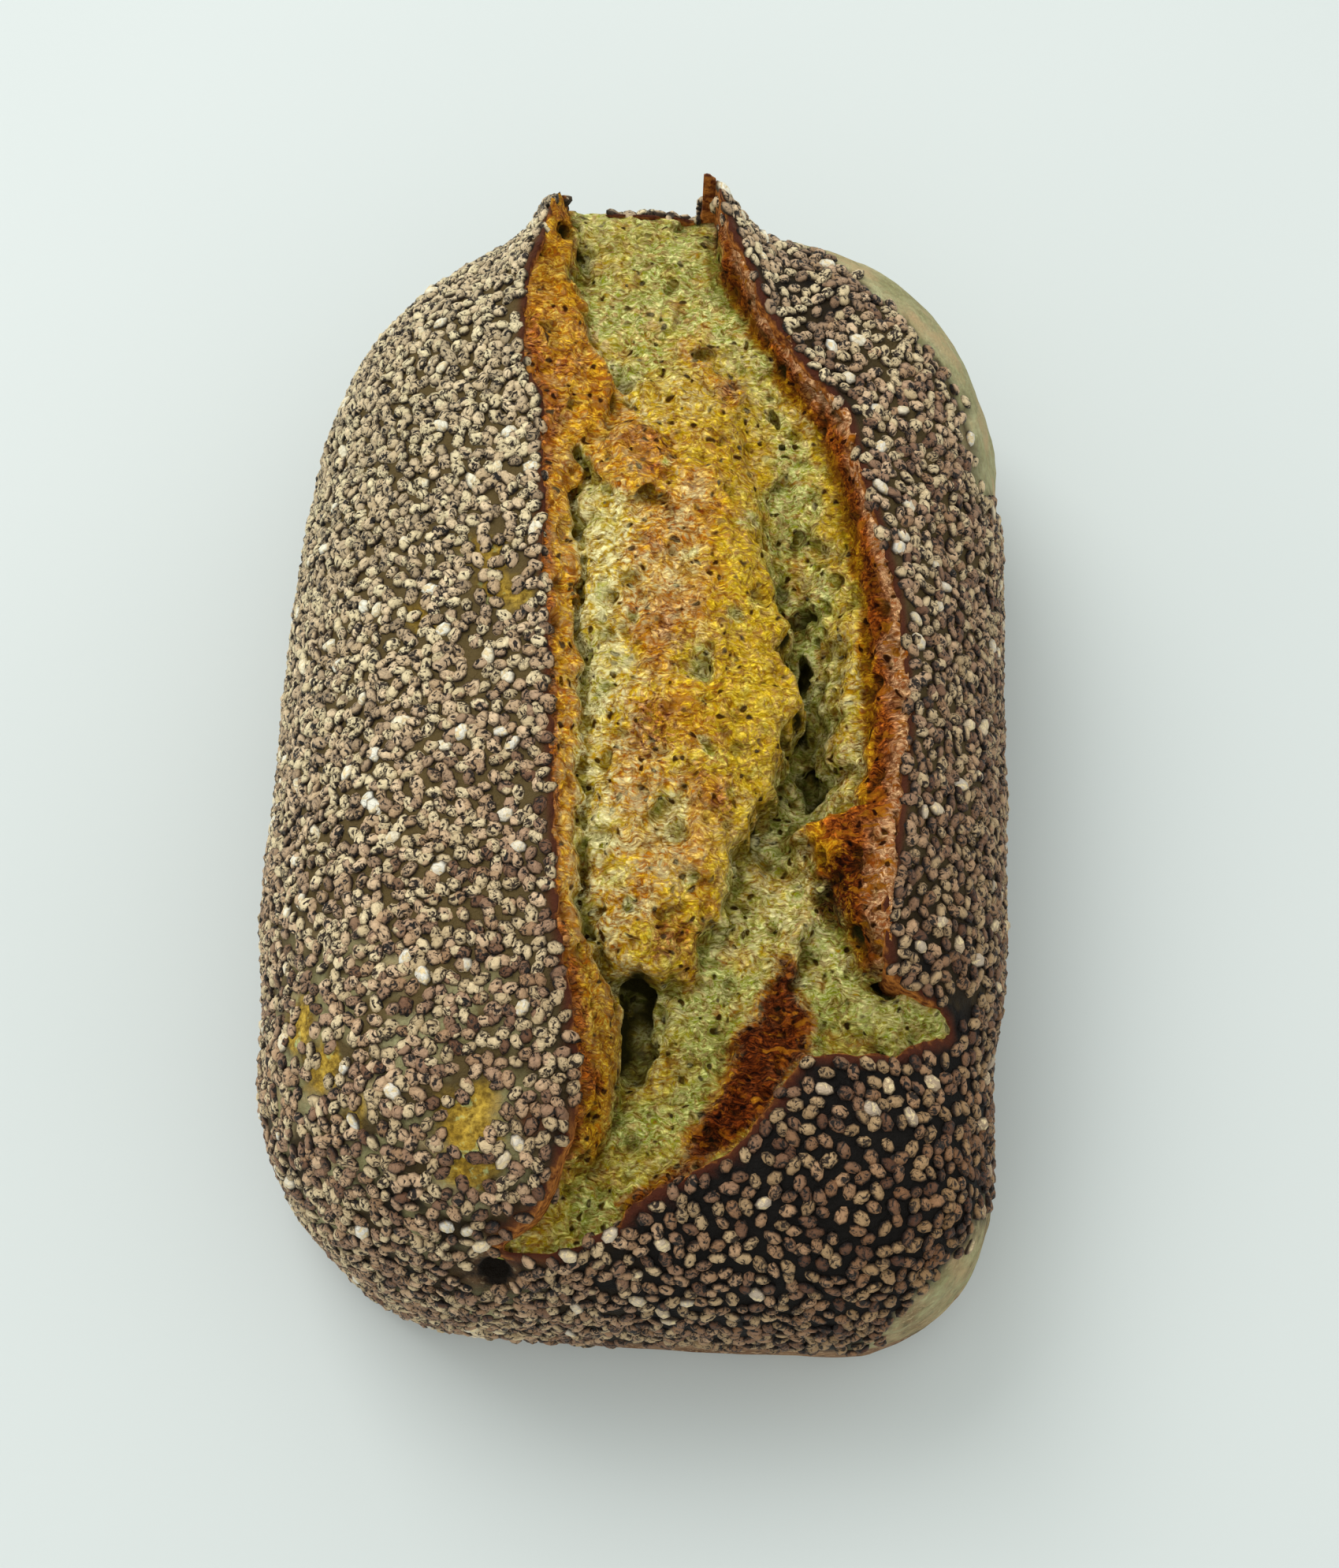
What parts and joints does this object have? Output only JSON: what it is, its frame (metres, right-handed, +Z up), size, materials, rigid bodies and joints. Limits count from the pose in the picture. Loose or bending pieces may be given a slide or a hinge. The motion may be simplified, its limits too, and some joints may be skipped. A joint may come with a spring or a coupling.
{
  "type": "seeded sourdough loaf",
  "caption": "Small sourdough loaf with a seeded, rounded crust, split open along its length over torn green-gold crumb, with two pointed ears at the far end.",
  "frame": {"origin": "centre of the loaf's outer box, on the table plane the base rests on", "axes": "+Y along the loaf's length towards the end with the ears, +Z up, +X to the right seen from the near end"},
  "size_m": [0.0976, 0.15, 0.0551],
  "materials": {
    "crust": "matt baked crust with chia seeds; matte plastic stands in for bread"
  },
  "bodies": {
    "root": {"loaf": "crust"}
  },
  "joints": []
}
